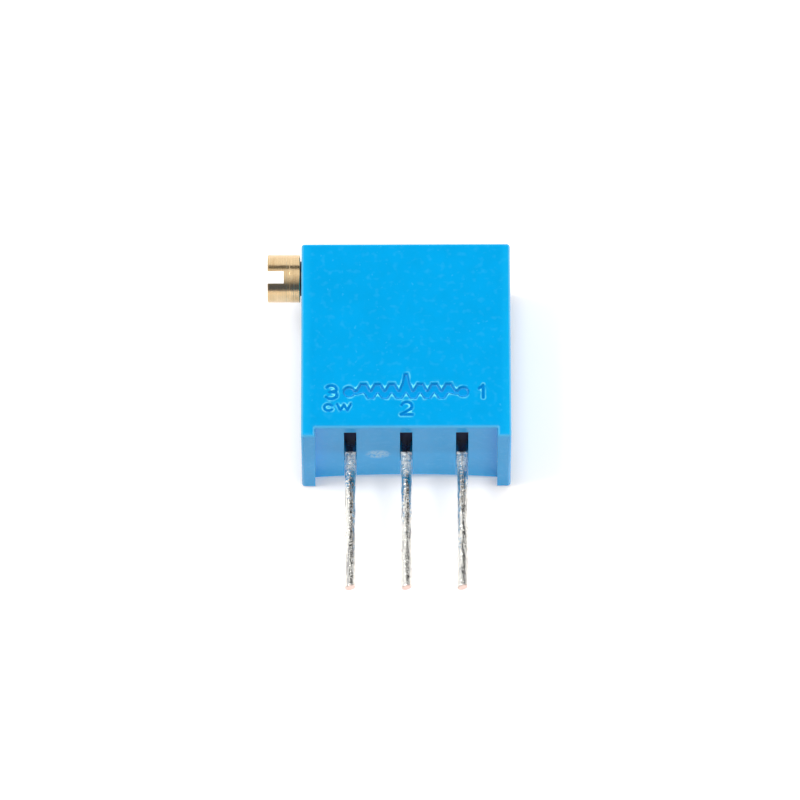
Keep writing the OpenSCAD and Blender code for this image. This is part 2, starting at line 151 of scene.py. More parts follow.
def inMillimetres(tree):
    coords = addNode(tree, "ShaderNodeTexCoord")
    return stretched(coords.outputs["Object"], (1 / mm, 1 / mm, 1 / mm))


def newGroup(name, inputs, outputs):
    # an input's preset tells its kind: a number, a vector or a colour
    tree = bpy.data.node_groups.new(name, "ShaderNodeTree")
    kinds = {0: "NodeSocketFloat", 3: "NodeSocketVector", 4: "NodeSocketColor"}
    for label, preset in inputs.items():
        kind = kinds[len(preset) if isinstance(preset, tuple) else 0]
        socket = tree.interface.new_socket(name=label, in_out="INPUT", socket_type=kind)
        socket.default_value = preset
    for label in outputs:
        kind = kinds[4 if label == "Colour" else 0]
        tree.interface.new_socket(name=label, in_out="OUTPUT", socket_type=kind)
    return tree, addNode(tree, "NodeGroupInput").outputs, addNode(tree, "NodeGroupOutput").inputs


grey = (0.5, 0.5, 0.5, 1)
noiseBand = (0.3, 0.7)  # holds nearly all of a noise's values
surfaceOutputs = ("Colour", "Roughness", "Height")


def makeMouldedSkin():
    # soft cloudiness, sparse pale flecks and a fine grain, as on moulded plastic
    tree, given, out = newGroup("mouldedSkin", {
        "Colour": grey, "Fleck Colour": grey, "Cloud Amount": 0.04, "Fleck Amount": 0.3,
        "Fleck Size": 0.4, "Nick Amount": 0.3, "Grain Size": 0.03, "Roughness": 0.3}, surfaceOutputs)
    where = inMillimetres(tree)
    clouds = noiseNode(where, scale=0.6, detail=5.0, rough=0.65)
    shading = mapRange(clouds, *noiseBand, minus(1.0, given["Cloud Amount"]),
                       plus(1.0, given["Cloud Amount"]))
    flecks = noiseNode(where, divided(1.0, given["Fleck Size"]), detail=1.0, rough=0.4)
    nicks = noiseNode(stretched(where, (1, 1, 0.8)), scale=5.0, detail=1.0, rough=0.4)
    pale = larger(mapRange(flecks, 0.56, 0.85, 0.0, given["Fleck Amount"]),
                  mapRange(nicks, 0.7, 0.8, 0.0, given["Nick Amount"]))
    grain = noiseNode(where, divided(1.0, given["Grain Size"]), detail=2.0, rough=0.6)
    uneven = mapRange(grain, *noiseBand, -0.03, 0.05)
    waves = noiseNode(where, scale=1.3, detail=2.0)
    feed(out, {
        "Colour": mixColour(pale, dimmed(given["Colour"], shading), given["Fleck Colour"]),
        "Roughness": plus(given["Roughness"], uneven),
        "Height": plus(grain, times(waves, 6.0))})
    return tree


def makeTurnedMetal():
    # rings left by the lathe, round the screw's axis on its flanks and its end, and a thin tarnish
    tree, given, out = newGroup("turnedMetal", {
        "Colour": grey, "Tarnish Colour": grey, "Tarnish Amount": 0.3,
        "Rings Per Millimetre": 12.0, "Axis Point": (0, 0, 0), "Roughness": 0.25}, surfaceOutputs)
    where = inMillimetres(tree)
    along, aside, up = splitNode(vectorNode("SUBTRACT", where, given["Axis Point"])[0])
    radius = mathNode("SQRT", plus(times(aside, aside), times(up, up)))
    ringAt = times(given["Rings Per Millimetre"], plus(along, radius))
    ringVector = addNode(tree, "ShaderNodeCombineXYZ", {0: ringAt}).outputs[0]
    rings = noiseNode(ringVector, scale=1.0, rough=0.7)
    patches = noiseNode(where, scale=1.6, detail=4.0, rough=0.6, distortion=0.6)
    tarnish = mapRange(patches, 0.42, 0.68, 0.0, given["Tarnish Amount"])
    tinted = dimmed(given["Colour"], mapRange(rings, *noiseBand, 0.86, 1.08))
    dents = noiseNode(where, scale=9.0, detail=2.0)
    feed(out, {
        "Colour": mixColour(tarnish, tinted, given["Tarnish Colour"]),
        "Roughness": plus(given["Roughness"], times(patches, 0.14)),
        "Height": plus(rings, times(dents, 1.5))})
    return tree


def makeDippedCoat():
    # solder run along a wire: long streaks, ripples and specks, dull between two heights
    tree, given, out = newGroup("dippedCoat", {
        "Colour": grey, "Streak Colour": grey, "Streak Amount": 0.5, "Streak Width": 0.12,
        "Pit Amount": 0.0, "Ripple Amount": 0.0, "Bloom Top": 1.0, "Bloom Low": 0.0,
        "Bloom Amount": 0.0, "Roughness": 0.2}, (*surfaceOutputs, "Metal"))
    where = inMillimetres(tree)
    streaks = noiseNode(stretched(where, (1, 1, 0.16)), divided(1.0, given["Streak Width"]),
                        detail=4.0, rough=0.65, distortion=0.4)
    specks = noiseNode(stretched(where, (1, 1, 0.33)), scale=11.0, rough=0.66)
    ripples = noiseNode(stretched(where, (0.7, 0.7, 1.0)), scale=7.0, detail=2.0, rough=0.55,
                        distortion=0.8)
    dark = larger(mapRange(streaks, 0.53, 0.6, 0.0, given["Streak Amount"]),
                  mapRange(specks, 0.58, 0.66, 0.0, given["Pit Amount"]))
    height = splitNode(where)[2]
    below = mapRange(minus(given["Bloom Top"], height), -0.05, 0.08, 0.0, given["Bloom Amount"])
    above = mapRange(minus(height, given["Bloom Low"]), -0.3, 0.45)
    bloom = times(times(below, above), mapRange(ripples, 0.4, 0.55, 0.35, 1.0))
    uneven = plus(mapRange(specks, 0.35, 0.65, 0.0, 0.12), times(bloom, 0.25))
    feed(out, {
        "Colour": mixColour(dark, given["Colour"], given["Streak Colour"]),
        "Metal": minus(1.0, bloom),
        "Roughness": plus(given["Roughness"], uneven),
        "Height": plus(plus(streaks, specks), times(ripples, given["Ripple Amount"]))})
    return tree


def makeFiredGrain():
    # two tones of a sintered, printed or cast surface, with its tooth
    tree, given, out = newGroup("firedGrain", {
        "Colour": grey, "Second Colour": grey, "Grain Size": 0.05, "Contrast": 0.6,
        "Roughness": 0.5}, surfaceOutputs)
    where = inMillimetres(tree)
    grain = noiseNode(where, divided(1.0, given["Grain Size"]), rough=0.6)
    patches = noiseNode(where, scale=1.1)
    both = plus(times(grain, 0.6), times(patches, 0.4))
    spread = mapRange(both, 0.38, 0.62, 0.0, given["Contrast"])
    uneven = mapRange(grain, *noiseBand, -0.08, 0.08)
    feed(out, {
        "Colour": mixColour(spread, given["Colour"], given["Second Colour"]),
        "Roughness": plus(given["Roughness"], uneven),
        "Height": grain})
    return tree


def makeStampedRelief():
    # masks by how far a surface lies in front of a face or behind it: stamped marks have a
    # raised lip, which takes a painted highlight, and a sunken wall and floor, which take painted
    # shade; the face's rounded rim takes a painted highlight, and a painted highlight pales the
    # face toward its two sides and its top
    tree, given, out = newGroup("stampedRelief", {
        "Face Level": 0.0, "Mark Depth": 0.1, "Lip Height": 0.01, "Edge Depth": 0.05,
        "Half Width": 4.0, "Middle Height": 2.0, "Half Height": 1.4, "Face Half": 4.7,
        "Face Top": 10.0, "Side Margin": 0.5, "Top Margin": 0.22, "Face Slack": 0.02},
        ("Raised", "Wall", "Floor", "Edge", "Margin"))
    across, back, up = splitNode(inMillimetres(tree))
    inside = times(mathNode("COMPARE", across, 0.0, given["Half Width"]),
                   mathNode("COMPARE", up, given["Middle Height"], given["Half Height"]))
    sunk = minus(back, given["Face Level"])
    depth = divided(sunk, given["Mark Depth"])
    marked = times(inside, mathNode("LESS_THAN", depth, 2.0))
    lip = divided(times(sunk, -1.0), given["Lip Height"])
    edge = divided(sunk, given["Edge Depth"])
    rise, fall = mapRange(edge, 0.02, 0.2), mapRange(edge, 0.5, 1.0, 1.0, 0.0)
    aside = minus(given["Face Half"], mathNode("ABSOLUTE", across))
    under = minus(given["Face Top"], up)
    margin = larger(mapRange(aside, 0.0, given["Side Margin"], 1.0, 0.0),
                    mapRange(under, 0.0, given["Top Margin"], 1.0, 0.0))
    onFace = mapRange(sunk, 0.0, given["Face Slack"], 1.0, 0.0)
    # the bands of lip, depth and edge are parts of the sizes given
    feed(out, {
        # the lips' pale colour is a painted highlight
        "Raised": times(inside, mapRange(lip, 0.1, 0.9)),
        # the darker colours of walls and floors are painted shade in the sunken marks
        "Wall": times(marked, mapRange(depth, 0.15, 0.6)),
        "Floor": times(marked, mapRange(depth, 0.88, 0.99)),
        # the rim's pale colour is a painted highlight
        "Edge": times(minus(1.0, marked), times(rise, fall)),
        # the paler band along the face's sides and top is a painted highlight
        "Margin": times(margin, onFace)})
    return tree


def makeInkSmudge():
    # a patch of rubbed ink, fading to its ends and broken up
    tree, given, out = newGroup("inkSmudge", {
        "Centre": (0, 0, 0), "Reach": (1, 1, 1), "Breakup": 5.0}, ("Mask",))
    where = inMillimetres(tree)
    offCentre = vectorNode("SUBTRACT", where, given["Centre"])[0]
    scaled = vectorNode("DIVIDE", offCentre, given["Reach"])[0]
    length = vectorNode("LENGTH", scaled)["Value"]
    broken = mapRange(noiseNode(where, given["Breakup"], rough=0.6), 0.38, 0.54)
    feed(out, {"Mask": times(mapRange(length, 0.55, 1.0, 1.0, 0.0), broken)})
    return tree


mouldedSkin, turnedMetal = makeMouldedSkin(), makeTurnedMetal()
dippedCoat, firedGrain = makeDippedCoat(), makeFiredGrain()
stampedRelief, inkSmudge = makeStampedRelief(), makeInkSmudge()


def shade(red, green, blue):
    # a colour as it is seen, 0 to 255, turned into the linear value that a shader takes
    def linear(c):
        c /= 255
        return c / 12.92 if c <= 0.04045 else ((c + 0.055) / 1.055) ** 2.4
    return (linear(red), linear(green), linear(blue), 1)


def groupNode(tree, group, values):
    linear = {label: shade(*value) if label.endswith("Colour") else value
              for label, value in values.items()}
    return addNode(tree, "ShaderNodeGroup", linear, node_tree=group).outputs


def finish(name, group, look, relief=0.002, metallic=0.0, specular=0.5, glossTint=None,
           overlays=(), nodes=()):
    # relief is the height of the bump, in millimetres; an overlay is a mask group, its values
    # and the colours and amounts that its masks bring; nodes are the solids that take the finish
    material = bpy.data.materials.new(name)
    material.use_nodes = True
    tree = material.node_tree
    surface = groupNode(tree, group, look)
    colour = surface["Colour"]
    for maskGroup, values, coats in overlays:
        masks = groupNode(tree, maskGroup, values)
        for label, (tint, amount) in coats.items():
            colour = mixColour(times(masks[label], amount), colour, shade(*tint))
    bump = addNode(tree, "ShaderNodeBump", {
        "Strength": 1.0, "Distance": relief * mm, "Height": surface["Height"]})
    feed(tree.nodes["Principled BSDF"].inputs, {
        "Base Color": colour, "Roughness": surface["Roughness"], "Normal": bump.outputs["Normal"],
        "Metallic": surface["Metal"] if "Bloom Amount" in look else metallic,
        "Specular IOR Level": specular, "Specular Tint": glossTint})
    for node in nodes:
        solid = frame["nodes"][node].data
        solid.materials.clear()
        solid.materials.append(material)
    return material


blueMoulding = finish("blueMoulding", mouldedSkin, {
    "Colour": (0, 172, 240), "Fleck Colour": (60, 192, 250), "Cloud Amount": 0.04,
    "Fleck Amount": 0.33, "Fleck Size": 0.3, "Nick Amount": 0.5, "Grain Size": 0.05,
    "Roughness": 0.17}, relief=0.0006, glossTint=(0.55, 0.85, 0.95, 1), overlays=[
        (stampedRelief, {
            "Face Level": bodyLow.y, "Mark Depth": 0.1, "Lip Height": 0.02, "Edge Depth": 0.13,
            "Half Width": 4.2, "Middle Height": 2.2, "Half Height": 1.4,
            "Face Half": bodyHigh.x, "Face Top": bodyHigh.z}, {
            # pale lips, rim and margin are painted highlights; dark walls and floors are painted shade
            "Raised": ((110, 240, 255), 1.0), "Wall": ((0, 134, 214), 0.8),
            "Floor": ((0, 166, 238), 0.9), "Edge": ((120, 216, 255), 0.55),
            "Margin": ((24, 196, 255), 0.5)}),
        (inkSmudge, {"Centre": (-1.28, 0.15, 0.47), "Reach": (0.62, 0.45, 0.1), "Breakup": 8.0},
         {"Mask": ((184, 224, 240), 0.62)})])
brass = finish("turnedBrass", turnedMetal, {
    "Colour": (213, 187, 146), "Tarnish Colour": (186, 146, 90), "Tarnish Amount": 0.35,
    "Rings Per Millimetre": 11.0, "Axis Point": (0, screwY, screwZ), "Roughness": 0.16},
    metallic=1.0)
# brass painted dark grey-blue: painted shade for the shank in the shaded gap beside the head
shadePaintedBrass = finish("shadePaintedBrass", turnedMetal, {
    "Colour": (66, 66, 84), "Tarnish Colour": (96, 84, 66), "Tarnish Amount": 0.4,
    "Rings Per Millimetre": 11.0, "Axis Point": (0, screwY, screwZ), "Roughness": 0.3},
    relief=0.0012, metallic=1.0)
tin = finish("tinnedWire", dippedCoat, {
    "Colour": (238, 236, 230), "Streak Colour": (150, 150, 152), "Streak Amount": 0.7,
    "Streak Width": 0.13, "Pit Amount": 0.6, "Ripple Amount": 0.9, "Bloom Top": 0.4,
    "Bloom Low": -0.6, "Bloom Amount": 0.75, "Roughness": 0.08}, relief=0.02)
copper = finish("cutCopper", firedGrain, {
    "Colour": (222, 200, 192), "Second Colour": (206, 176, 166), "Grain Size": 0.06,
    "Contrast": 0.7, "Roughness": 0.4}, metallic=1.0)

# the inner pieces, which keep their solids

finish("solder", dippedCoat, {
    "Colour": (205, 206, 204), "Streak Colour": (150, 152, 154), "Streak Amount": 0.3,
    "Streak Width": 0.3, "Roughness": 0.24}, relief=0.008, metallic=1.0,
    nodes=["solder_joint_1", "solder_joint_2", "solder_joint_3"])
finish("alumina", firedGrain, {
    "Colour": (236, 234, 226), "Second Colour": (214, 210, 200), "Grain Size": 0.06,
    "Roughness": 0.62}, nodes=["ceramic_substrate"])
finish("cermet", firedGrain, {
    "Colour": (34, 34, 36), "Second Colour": (66, 64, 62), "Grain Size": 0.035,
    "Roughness": 0.44}, nodes=["resistive_track"])
finish("firedSilver", firedGrain, {
    "Colour": (214, 212, 204), "Second Colour": (176, 172, 160), "Grain Size": 0.04,
    "Roughness": 0.42}, metallic=0.9,
    nodes=["collector_conductor", "end_conductor_left", "end_conductor_right"])
finish("leadSealant", firedGrain, {
    "Colour": (12, 24, 60), "Second Colour": (28, 44, 84), "Grain Size": 0.09},
    relief=0.004, specular=0.3, nodes=["lead_seal_1", "lead_seal_2", "lead_seal_3"])
finish("sealRubber", firedGrain, {
    "Colour": (176, 72, 44), "Second Colour": (150, 58, 36), "Contrast": 0.5},
    specular=0.4, nodes=["shaft_seal"])
finish("springSteel", dippedCoat, {
    "Colour": (188, 190, 192), "Streak Colour": (140, 142, 146), "Streak Amount": 0.4,
    "Streak Width": 0.05, "Roughness": 0.3}, relief=0.001, metallic=1.0, nodes=["screw_retainer"])
finish("gearNylon", mouldedSkin, {
    "Colour": (232, 228, 212), "Fleck Colour": (246, 243, 232), "Cloud Amount": 0.03,
    "Fleck Size": 0.3, "Grain Size": 0.05, "Roughness": 0.38}, relief=0.0015, nodes=["rotor_gear"])
finish("contactAlloy", dippedCoat, {
    "Colour": (224, 206, 158), "Streak Colour": (188, 166, 116), "Streak Amount": 0.4,
    "Streak Width": 0.06, "Roughness": 0.24}, relief=0.001, metallic=1.0, nodes=["wiper_contact"])
print("finishes made")

# mesh helpers, all in millimetres

past = 1.0  # how far cutting shapes run past what they cut


def loft(rings):
    # joins rings of the same number of points into a closed skin
    bm = bmesh.new()
    rows = [[bm.verts.new(point) for point in ring] for ring in rings]
    count = len(rings[0])
    for near, far in zip(rows, rows[1:]):
        for i in range(count):
            j = (i + 1) % count
            bm.faces.new((near[i], near[j], far[j], far[i]))
    bm.faces.new(rows[0][::-1])
    bm.faces.new(rows[-1])
    bmesh.ops.recalc_face_normals(bm, faces=bm.faces)
    return bm


def offsetOutline(outline, distance):
    # moves every side of a counter-clockwise outline out by a distance
    moved = []
    count = len(outline)
    for i, point in enumerate(outline):
        before = (point - outline[i - 1]).normalized()
        after = (outline[(i + 1) % count] - point).normalized()
        outBefore = Vector((before.y, -before.x))
        outAfter = Vector((after.y, -after.x))
        corner = (outBefore + outAfter).normalized()
        moved.append(point + corner * distance / max(0.35, corner.dot(outAfter)))  # tips end blunt
    return moved


def arc(centre, radius, start, end, steps):
    # angles in degrees, from the right, counter-clockwise
    angles = [math.radians(start + (end - start) * i / steps) for i in range(steps + 1)]
    return [Vector((centre[0] + radius * math.cos(a), centre[1] + radius * math.sin(a)))
            for a in angles]


def oval(centre, wide, high, start, end, steps):
    return [Vector((centre[0] + (p.x - centre[0]) * wide, centre[1] + (p.y - centre[1]) * high))
            for p in arc(centre, 1.0, start, end, steps)]


def roundedRect(low, high, radius, steps=8):
    x0, z0, x1, z1 = low[0] + radius, low[1] + radius, high[0] - radius, high[1] - radius
    return (arc((x0, z0), radius, 180, 270, steps) + arc((x1, z0), radius, 270, 360, steps)
            + arc((x1, z1), radius, 0, 90, steps) + arc((x0, z1), radius, 90, 180, steps))


def atDepth(outline, y):
    return [Vector((p.x, y, p.y)) for p in outline]


def prism(outline, y0, y1, frontRound=0.0, backRound=0.0, steps=5):
    # a front outline carried back, its rims rounded
    angles = [math.pi / 2 * i / steps for i in range(steps + 1)]
    rings = [atDepth(offsetOutline(outline, -frontRound * (1 - math.sin(a))),
                     y0 + frontRound * (1 - math.cos(a)))
             for a in (angles if frontRound else angles[-1:])]
    rings += [atDepth(offsetOutline(outline, -backRound * (1 - math.cos(a))),
                      y1 - backRound * (1 - math.sin(a)))
              for a in (angles if backRound else angles[:1])]
    return loft(rings)


def block(low, high):
    return prism([Vector((low[0], low[2])), Vector((high[0], low[2])),
                  Vector((high[0], high[2])), Vector((low[0], high[2]))], low[1], high[1])


def discAlongY(x, z, radius, y0, y1, steps=64):
    return prism(arc((x, z), radius, 0, 360 - 360 / steps, steps - 1), y0, y1)


def rodAlongX(x0, x1, y, z, radius, steps=64):
    rings = [[Vector((x, y + radius * math.cos(a), z + radius * math.sin(a)))
              for a in [math.tau * i / steps for i in range(steps)]] for x in (x0, x1)]
    return loft(rings)


def ringSector(x, z, inner, outer, start, end, y0, y1, steps=24):
    outline = arc((x, z), outer, start, end, steps) + arc((x, z), inner, end, start, steps)
    return prism(outline, y0, y1)


def asObject(name, bm):
    mesh = bpy.data.meshes.new(name)
    bm.to_mesh(mesh)
    bm.free()
    made = bpy.data.objects.new(name, mesh)
    scene.collection.objects.link(made)
    return made


def joined(meshes):
    # several closed shapes in one, which may run through each other
    whole = bmesh.new()
    for bm in meshes:
        mesh = bpy.data.meshes.new("shape")
        bm.to_mesh(mesh)
        bm.free()
        whole.from_mesh(mesh)
        bpy.data.meshes.remove(mesh)
    return whole


def combine(base, shapes, operation):
    tool = asObject("tool", joined(shapes))
    step = base.modifiers.new("step", "BOOLEAN")
    step.operation, step.solver, step.use_self, step.object = operation, "EXACT", True, tool
    graph = bpy.context.evaluated_depsgraph_get()
    mesh = bpy.data.meshes.new_from_object(base.evaluated_get(graph))
    base.modifiers.clear()
    old, base.data = base.data, mesh
    bpy.data.meshes.remove(old)
    bpy.data.objects.remove(tool)


def place(piece, name, body, replaced, materials, sharpAngle=32):
    # scales a finished shape into metres, smooths it and hangs it on its body
    piece.name = piece.data.name = name
    piece.data.transform(Matrix.Scale(mm, 4))
    for material in materials:
        piece.data.materials.append(material)
    piece.data.shade_smooth()
    piece.data.set_sharp_from_angle(angle=math.radians(sharpAngle))
    even = piece.modifiers.new("evenNormals", "WEIGHTED_NORMAL")
    even.keep_sharp = True
    even.weight = 100
    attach(piece, body)
    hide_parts(*replaced)
    return piece


# housing

bodyShape = {
    "cornerRadius": 0.15,      # corners of the marked face
    "frontRim": 0.13,          # rounding of the marked face's rim, less than its corners'
    "backRim": 0.08,
    "archRim": 0.42,           # rounding of the recess's back edge at its middle, less at its ends
    "archGap": 0.02,           # how far that rounding stops short of the feet
    "footWidth": 0.62, "footHeight": 0.46, "recessCorner": 0.04,
    "frontWall": 0.5, "sideWall": 1.0, "pocketWall": 0.6, "floorWall": 0.8, "pocketCorner": 0.3,
    "leadPitch": 2.54, "slotHalf": 0.28,
    "shankRadius": 0.798, "boreRadius": 0.838, "journalBore": 0.38, "journalDepth": 0.9,
    "shankBoss": 1.82, "journalBoss": 1.77, "bossWall": 0.31,
    "clipSlot": 1.14, "clipSlotWidth": 0.36, "clipHeight": 1.66, "clipReach": 0.54,
    "postRadius": 0.55, "postGap": 0.35, "padRadius": 1.0, "padHeight": 0.27,
    "stopInner": 1.75, "stopOuter": 2.45, "stopHalfAngle": 28.1, "stopHeight": 0.57,
}
sideX, frontY, backY, topZ = bodyHigh.x, bodyLow.y, bodyHigh.y, bodyHigh.z
floorZ = bodyShape["footHeight"] + bodyShape["floorWall"]
chamberX, chamberY = sideX - bodyShape["sideWall"], frontY + bodyShape["frontWall"]
pocketX, pocketTop = sideX - bodyShape["pocketWall"], topZ - bodyShape["pocketWall"]
ceramicY = ceramicLow.y


def bodyOutline(shape):
    # the marked face with its two feet, counter-clockwise from the left foot
    r, c = shape["cornerRadius"], shape["recessCorner"]
    foot, up = sideX - shape["footWidth"], shape["footHeight"]
    return (arc((-sideX + r, r), r, 180, 270, 6) + [Vector((-foot, 0))]
            + arc((-foot + c, up - c), c, 180, 90, 4) + arc((foot - c, up - c), c, 90, 0, 4)
            + [Vector((foot, 0))] + arc((sideX - r, r), r, 270, 360, 6)
            + arc((sideX - r, topZ - r), r, 0, 90, 6) + arc((-sideX + r, topZ - r), r, 90, 180, 6))


markShape = {
    # relief across a mark's edge: distance outside its outline, height over the face
    "profile": [(-0.12, -0.1), (-0.095, -0.096), (-0.075, -0.086), (-0.05, -0.062),
                (-0.025, -0.032), (0.0, 0.0), (0.012, 0.01), (0.028, 0.014), (0.05, 0.011),
                (0.075, 0.004), (0.095, 0.0), (0.115, 0.0), (0.15, 0.0)],
    "lipEven": 0.4, "lipCrowded": 1.4, "lipUneven": 0.9, "lipLimits": (0.05, 2),
    "unevenScale": 3.3, "crowdReach": 0.2, "crowdCell": 0.02, "crowdBand": (0.42, 0.56),
    "lowest": (-4.2, 0.8), "highest": (4.2, 3.6),  # the marks' field, across and up
    "meshLow": (-3.9, 0.95), "meshHigh": (3.9, 3.35), "meshStep": 0.14,
    "spacing": 0.03, "onLine": 0.0015,  # of the samples, and how near to its line each has to lie
    "stroke": 0.145, "letterStroke": 0.125,
    "peaks": 7, "pitch": 0.6435, "peakHalf": 0.15,
    "topZ": 2.767, "notchTopZ": 2.42, "notchLowZ": 2.21, "lowZ": 1.915,
    "spikeTopZ": 3.274, "spikeHalf": 0.11, "spikeFoot": 1.3,
    "tail": 0.6, "tailTopZ": 2.4, "tailLowZ": 2.12,  # beyond the last peak, into the dots
    "bendTop": 0.33, "bendLow": 0.3, "bendLowZ": 2.13,
    "dotX": 2.59, "dotZ": 2.3, "dotRadius": 0.3,
}


def zigzagOutline(shape):
    # a thick zigzag between two dots, its middle peak drawn up to a point
    step, half = shape["pitch"], shape["peakHalf"]
    last = (shape["peaks"] - 1) // 2
    end = last * step
    tail = end + shape["tail"]
    upper = [(-tail, shape["tailTopZ"]), (-end - shape["bendTop"], shape["notchTopZ"])]
    lower = [(-tail, shape["tailLowZ"]), (-end - shape["bendLow"], shape["bendLowZ"])]
    for i in range(-last, last + 1):
        x = i * step
        if i == 0:
            foot = half * shape["spikeFoot"]
            upper += [(x - foot, shape["topZ"]), (x - shape["spikeHalf"], shape["spikeTopZ"]),
                      (x + shape["spikeHalf"], shape["spikeTopZ"]), (x + foot, shape["topZ"])]
        else:
            upper += [(x - half, shape["topZ"]), (x + half, shape["topZ"])]
        upper.append((x + step / 2, shape["notchTopZ"]))
        lower.append((x, shape["notchLowZ"]))
        if i < last:
            lower += [(x + step / 2 - half, shape["lowZ"]), (x + step / 2 + half, shape["lowZ"])]
    upper.append((tail, shape["tailTopZ"]))
    lower += [(end + shape["bendLow"], shape["bendLowZ"]), (tail, shape["tailLowZ"])]
    return [Vector(p) for p in lower + upper[::-1]]


def numeralLines():
    # plain terminal numerals, as centre lines
    return [
        # 3
        oval((-3.39, 2.43), 0.24, 0.19, 150, -62, 12), oval((-3.39, 2.13), 0.26, 0.2, 65, -150, 14),
        [(-3.46, 2.285), (-3.3, 2.285)],
        # 1
        [(3.5, 2.62), (3.5, 1.98)], [(3.31, 2.46), (3.5, 2.6)],
        # 2
        [*oval((0.03, 1.545), 0.24, 0.22, 160, -40, 12), (-0.23, 1.13)],
        [(-0.24, 1.115), (0.29, 1.115)],
    ]


def turnLetterLines():
    # the two letters for the turning direction
    return [
        # C
        oval((-3.51, 1.49), 0.2, 0.165, 38, 322, 14),
        # W
        [(-3.13, 1.66), (-2.97, 1.34), (-2.815, 1.62), (-2.66, 1.34), (-2.5, 1.66)],
    ]


def distanceTo(points, line, closed=False):
    # from each of many points to a line of straight stretches
    ends = np.array([tuple(p) for p in line])
    starts, stops = (ends, np.roll(ends, -1, axis=0)) if closed else (ends[:-1], ends[1:])
    if len(ends) == 1:
        starts, stops = ends, ends
    nearest = np.full(len(points), 1e9)
    for start, stop in zip(starts, stops):
        along = stop - start
        part = np.clip((points - start) @ along / max(along @ along, 1e-12), 0, 1)
        gap = points - start - part[:, None] * along
        nearest = np.minimum(nearest, np.hypot(gap[:, 0], gap[:, 1]))
    return nearest


def insideOf(points, outline):
    inside = np.zeros(len(points), dtype=bool)
    for a, b in zip(outline, outline[1:] + outline[:1]):
        crosses = (a.y > points[:, 1]) != (b.y > points[:, 1])
        slope = (b.x - a.x) / (b.y - a.y) if b.y != a.y else 0.0
        inside ^= crosses & (points[:, 0] < a.x + (points[:, 1] - a.y) * slope)
    return inside


class StampedMarks:
    # zigzag, dots and numerals as one shape, known by the distance to its outline

    def __init__(self, shape):
        self.zigzag = zigzagOutline(shape)
        dots = [[(side * shape["dotX"], shape["dotZ"])] for side in (-1, 1)]
        widths = ((numeralLines(), shape["stroke"] / 2), (turnLetterLines(), shape["letterStroke"] / 2),
                  (dots, shape["dotRadius"]))
        self.strokes = [([Vector(p) for p in line], half) for lines, half in widths for line in lines]
        self.profile = np.array(shape["profile"])
        self.spacing = shape["spacing"]
        self.shape = shape
        # how far marks close in on a place: under a half beside a straight edge, more in a tip
        cell = shape["crowdCell"]
        self.low = np.array(shape["lowest"])
        axes = [np.arange(low, high, cell) for low, high in zip(shape["lowest"], shape["highest"])]
        grid = np.stack(np.meshgrid(*axes, indexing="ij"), axis=-1)
        within = (self.distance(grid.reshape(-1, 2)) < 0).reshape(grid.shape[:2])
        reach = round(shape["crowdReach"] / cell)
        shifts = [(i, j) for i in range(-reach, reach + 1) for j in range(-reach, reach + 1)
                  if i * i + j * j <= reach * reach]
        self.crowd = sum(np.roll(within, shift, axis=(0, 1)).astype(float)
                         for shift in shifts) / len(shifts)

    def distance(self, points):
        edge = distanceTo(points, self.zigzag, closed=True)
        nearest = np.where(insideOf(points, self.zigzag), -edge, edge)
        for line, half in self.strokes:
            nearest = np.minimum(nearest, distanceTo(points, line) - half)
        return nearest

    def crowding(self, points):
        # 0 beside a straight edge, 1 in a narrow tip between marks
        cells = np.round((points - self.low) / self.shape["crowdCell"]).astype(int)
        return np.interp(self.crowd[cells[:, 0], cells[:, 1]], self.shape["crowdBand"], (0, 1))

    def height(self, points):
        away = self.distance(points)
        height = np.interp(away, self.profile[:, 0], self.profile[:, 1])
        lip = (away > 0) & (away < self.profile[-1, 0])
        near = points[lip]
        scale = self.shape["unevenScale"]
        uneven = np.array([noise.noise(Vector((x * scale, z * scale, 4.0))) for x, z in near])
        height[lip] *= np.clip(self.shape["lipEven"] + self.shape["lipCrowded"] * self.crowding(near)
                               + self.shape["lipUneven"] * uneven, *self.shape["lipLimits"])
        return height

    def samples(self):
        # points on lines that follow the outline at each distance of the profile
        lines = [(self.zigzag + self.zigzag[:1], 0.0)] + self.strokes
        kept = []
        for level in self.profile[:, 0]:
            found = []
            for line, half in lines:
                reach = half + level
                for start, stop in zip(line, line[1:]):
                    along = stop - start
                    side = Vector((-along.y, along.x)).normalized() * reach
                    count = max(1, round(along.length / self.spacing))
                    for i in range(count + 1):
                        at = start.lerp(stop, i / count)
                        found += [at + side, at - side]
                turns = max(8, round(math.tau * abs(reach) / self.spacing))
                for point in line:
                    found += [point + Vector((math.cos(t), math.sin(t))) * reach
                              for t in (math.tau * i / turns for i in range(turns))]
            found = np.array([tuple(p) for p in found])
            kept.append(found[np.abs(self.distance(found) - level) < self.shape["onLine"]])
        # and an even grid away from the outline
        ends = zip(self.shape["meshLow"], self.shape["meshHigh"])
        axes = [np.arange(low, high, self.shape["meshStep"]) for low, high in ends]
        grid = np.stack(np.meshgrid(*axes), axis=-1).reshape(-1, 2)
        away = self.distance(grid)
        low, high = self.profile[0, 0] - self.spacing, self.profile[-1, 0] + self.spacing
        kept.append(grid[(away < low) | (away > high)])
        points = np.concatenate(kept)
        # of points that all but meet, one stays
        cells = np.round(points / (self.spacing * 0.3)).astype(int)
        firsts = np.unique(cells, axis=0, return_index=True)[1]
        return points[np.sort(firsts)]


